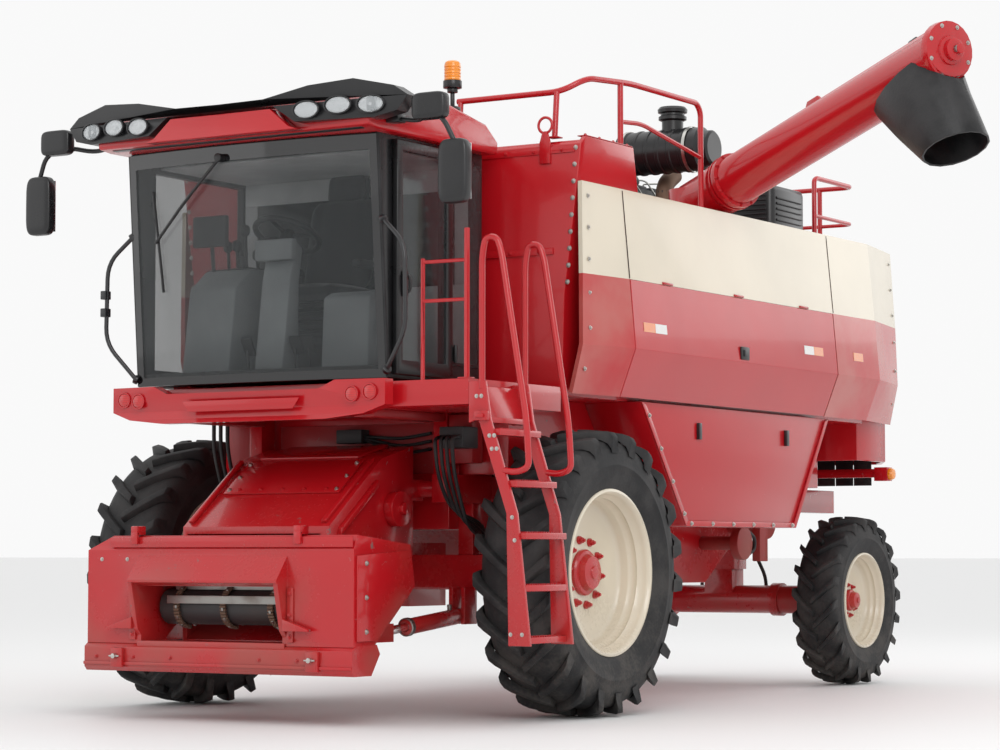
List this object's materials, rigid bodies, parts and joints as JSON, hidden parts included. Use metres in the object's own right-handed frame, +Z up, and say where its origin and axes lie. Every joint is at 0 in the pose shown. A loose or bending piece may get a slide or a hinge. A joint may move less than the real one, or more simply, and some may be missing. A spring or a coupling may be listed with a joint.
{
  "type": "combine harvester without header",
  "caption": "Combine harvester without its header: cab, grain tank with folded-out unloading auger, feeder house, steered rear axle.",
  "frame": {"origin": "on the ground, in the middle of the footprint of the whole machine with its auger swung out as stored", "axes": "-Y is the way the machine drives, +X is the machine's left side (the ladder side), +Z is up"},
  "size_m": [5.0636, 6.6463, 3.8865],
  "materials": {
    "red_paint": "gloss",
    "cream_paint": "gloss",
    "black_paint": "satin",
    "tyre_rubber": "matt",
    "black_rubber": "matt",
    "black_plastic": "matt",
    "grey_plastic": "matt",
    "seat_fabric": "matt",
    "worn_steel": "worn",
    "polished_rod": "polished",
    "cab_glass": "clear, lightly tinted",
    "amber_lens": "clear gloss"
  },
  "bodies": {
    "harvester": {"access_deck": "black_paint", "air_cleaner": "black_plastic", "auger_turret": "red_paint", "boarding_ladder": "black_paint", "bumper_panel": "red_paint", "cab_roof": "red_paint", "cab_shell": "red_paint", "chassis_frame": "red_paint", "cooling_housing": "black_paint", "driver_seat": "seat_fabric", "engine": "black_paint", "front_axle": "red_paint", "grab_rail_left": "black_paint", "grab_rail_right": "black_paint", "grain_tank": "red_paint", "lower_shield_left": "red_paint", "lower_shield_right": "red_paint", "mirror_left": "black_plastic", "mirror_right": "black_plastic", "quarter_window": "cab_glass", "rear_axle": "red_paint", "rear_rail": "black_paint", "right_window": "cab_glass", "roof_visor": "red_paint", "separator_body": "red_paint", "side_console": "grey_plastic", "side_panel_left": "cream_paint", "side_panel_right": "cream_paint", "steering_column": "black_plastic", "straw_hood": "red_paint", "tank_rail": "red_paint", "thresher_housing": "red_paint", "warning_beacon": "amber_lens", "windscreen": "cab_glass"},
    "feeder": {"feeder_house": "red_paint", "header_adapter": "red_paint", "feeder_drum": "worn_steel"},
    "cab_door": {"cab_door": "red_paint", "cab_door_glass": "cab_glass"},
    "auger": {"auger_tube": "red_paint", "auger_spout": "black_rubber"},
    "lift_barrel_left": {"lift_cylinder_left": "black_paint"},
    "lift_rod_left": {"lift_rod_left": "polished_rod"},
    "front_wheel_left": {"front_rim_left": "cream_paint", "front_tyre_left": "tyre_rubber"},
    "rear_wheel_left": {"rear_rim_left": "cream_paint", "rear_tyre_left": "tyre_rubber"},
    "steering_knuckle_left": {"steering_knuckle_left": "red_paint"},
    "service_door_left": {"service_door_left": "red_paint"},
    "lift_barrel_right": {"lift_cylinder_right": "black_paint"},
    "lift_rod_right": {"lift_rod_right": "polished_rod"},
    "front_wheel_right": {"front_rim_right": "cream_paint", "front_tyre_right": "tyre_rubber"},
    "rear_wheel_right": {"rear_rim_right": "cream_paint", "rear_tyre_right": "tyre_rubber"},
    "steering_knuckle_right": {"steering_knuckle_right": "red_paint"},
    "service_door_right": {"service_door_right": "red_paint"}
  },
  "joints": [
    {"name": "front_wheel_left_roll", "type": "hinge", "parent": "harvester", "child": "front_wheel_left", "pos_m": [0.41694, -1.645, 0.8049], "axis": [1, 0, 0], "continuous": true},
    {"name": "front_wheel_right_roll", "type": "hinge", "parent": "harvester", "child": "front_wheel_right", "pos_m": [-2.29606, -1.645, 0.8049], "axis": [1, 0, 0], "continuous": true},
    {"name": "steer_left", "type": "hinge", "parent": "harvester", "child": "steering_knuckle_left", "pos_m": [-0.20956, 2.735, 0.5863], "axis": [0, 0, 1], "range_deg": [-28, 28]},
    {"name": "rear_wheel_left_roll", "type": "hinge", "parent": "steering_knuckle_left", "child": "rear_wheel_left", "pos_m": [0.02794, 2.735, 0.5863], "axis": [1, 0, 0], "continuous": true},
    {"name": "steer_right", "type": "hinge", "parent": "harvester", "child": "steering_knuckle_right", "pos_m": [-1.66956, 2.735, 0.5863], "axis": [0, 0, 1], "range_deg": [-28, 28]},
    {"name": "rear_wheel_right_roll", "type": "hinge", "parent": "steering_knuckle_right", "child": "rear_wheel_right", "pos_m": [-1.90706, 2.735, 0.5863], "axis": [1, 0, 0], "continuous": true},
    {"name": "feeder_lift", "type": "hinge", "parent": "harvester", "child": "feeder", "pos_m": [-0.93956, -1.945, 1.28], "axis": [-1, 0, 0], "range_deg": [-8, 20]},
    {"name": "lift_barrel_left_pin", "type": "hinge", "parent": "harvester", "child": "lift_barrel_left", "pos_m": [-0.27956, -1.805, 0.56], "axis": [-1, 0, 0], "range_deg": [-12, 24]},
    {"name": "lift_rod_left_slide", "type": "slide", "parent": "lift_barrel_left", "child": "lift_rod_left", "axis": [0, -0.9953, -0.0971], "range_m": [-0.12, 0.27]},
    {"name": "lift_barrel_right_pin", "type": "hinge", "parent": "harvester", "child": "lift_barrel_right", "pos_m": [-1.59956, -1.805, 0.56], "axis": [-1, 0, 0], "range_deg": [-12, 24]},
    {"name": "lift_rod_right_slide", "type": "slide", "parent": "lift_barrel_right", "child": "lift_rod_right", "axis": [0, -0.9953, -0.0971], "range_m": [-0.12, 0.27]},
    {"name": "cab_door_hinge", "type": "hinge", "parent": "harvester", "child": "cab_door", "pos_m": [-0.05416, -2.245, 2.517], "axis": [0, 0, 1], "range_deg": [0, 80]},
    {"name": "auger_swing", "type": "hinge", "parent": "harvester", "child": "auger", "pos_m": [0.14044, 0.265, 2.92], "axis": [0, 0, 1], "range_deg": [0, 116]},
    {"name": "service_door_left_lift", "type": "hinge", "parent": "harvester", "child": "service_door_left", "pos_m": [0.54044, 0.075, 2.4856], "axis": [0, -1, 0], "range_deg": [0, 80]},
    {"name": "service_door_right_lift", "type": "hinge", "parent": "harvester", "child": "service_door_right", "pos_m": [-2.41956, 0.075, 2.4856], "axis": [0, 1, 0], "range_deg": [0, 80]}
  ],
  "couplings": [
    {"joint": "steer_right", "follows": "steer_left", "ratio": 1},
    {"joint": "lift_barrel_left_pin", "follows": "feeder_lift", "ratio": 0.86},
    {"joint": "lift_rod_left_slide", "follows": "feeder_lift", "m_per_rad": 0.713},
    {"joint": "lift_barrel_right_pin", "follows": "feeder_lift", "ratio": 0.86},
    {"joint": "lift_rod_right_slide", "follows": "feeder_lift", "m_per_rad": 0.713}
  ]
}
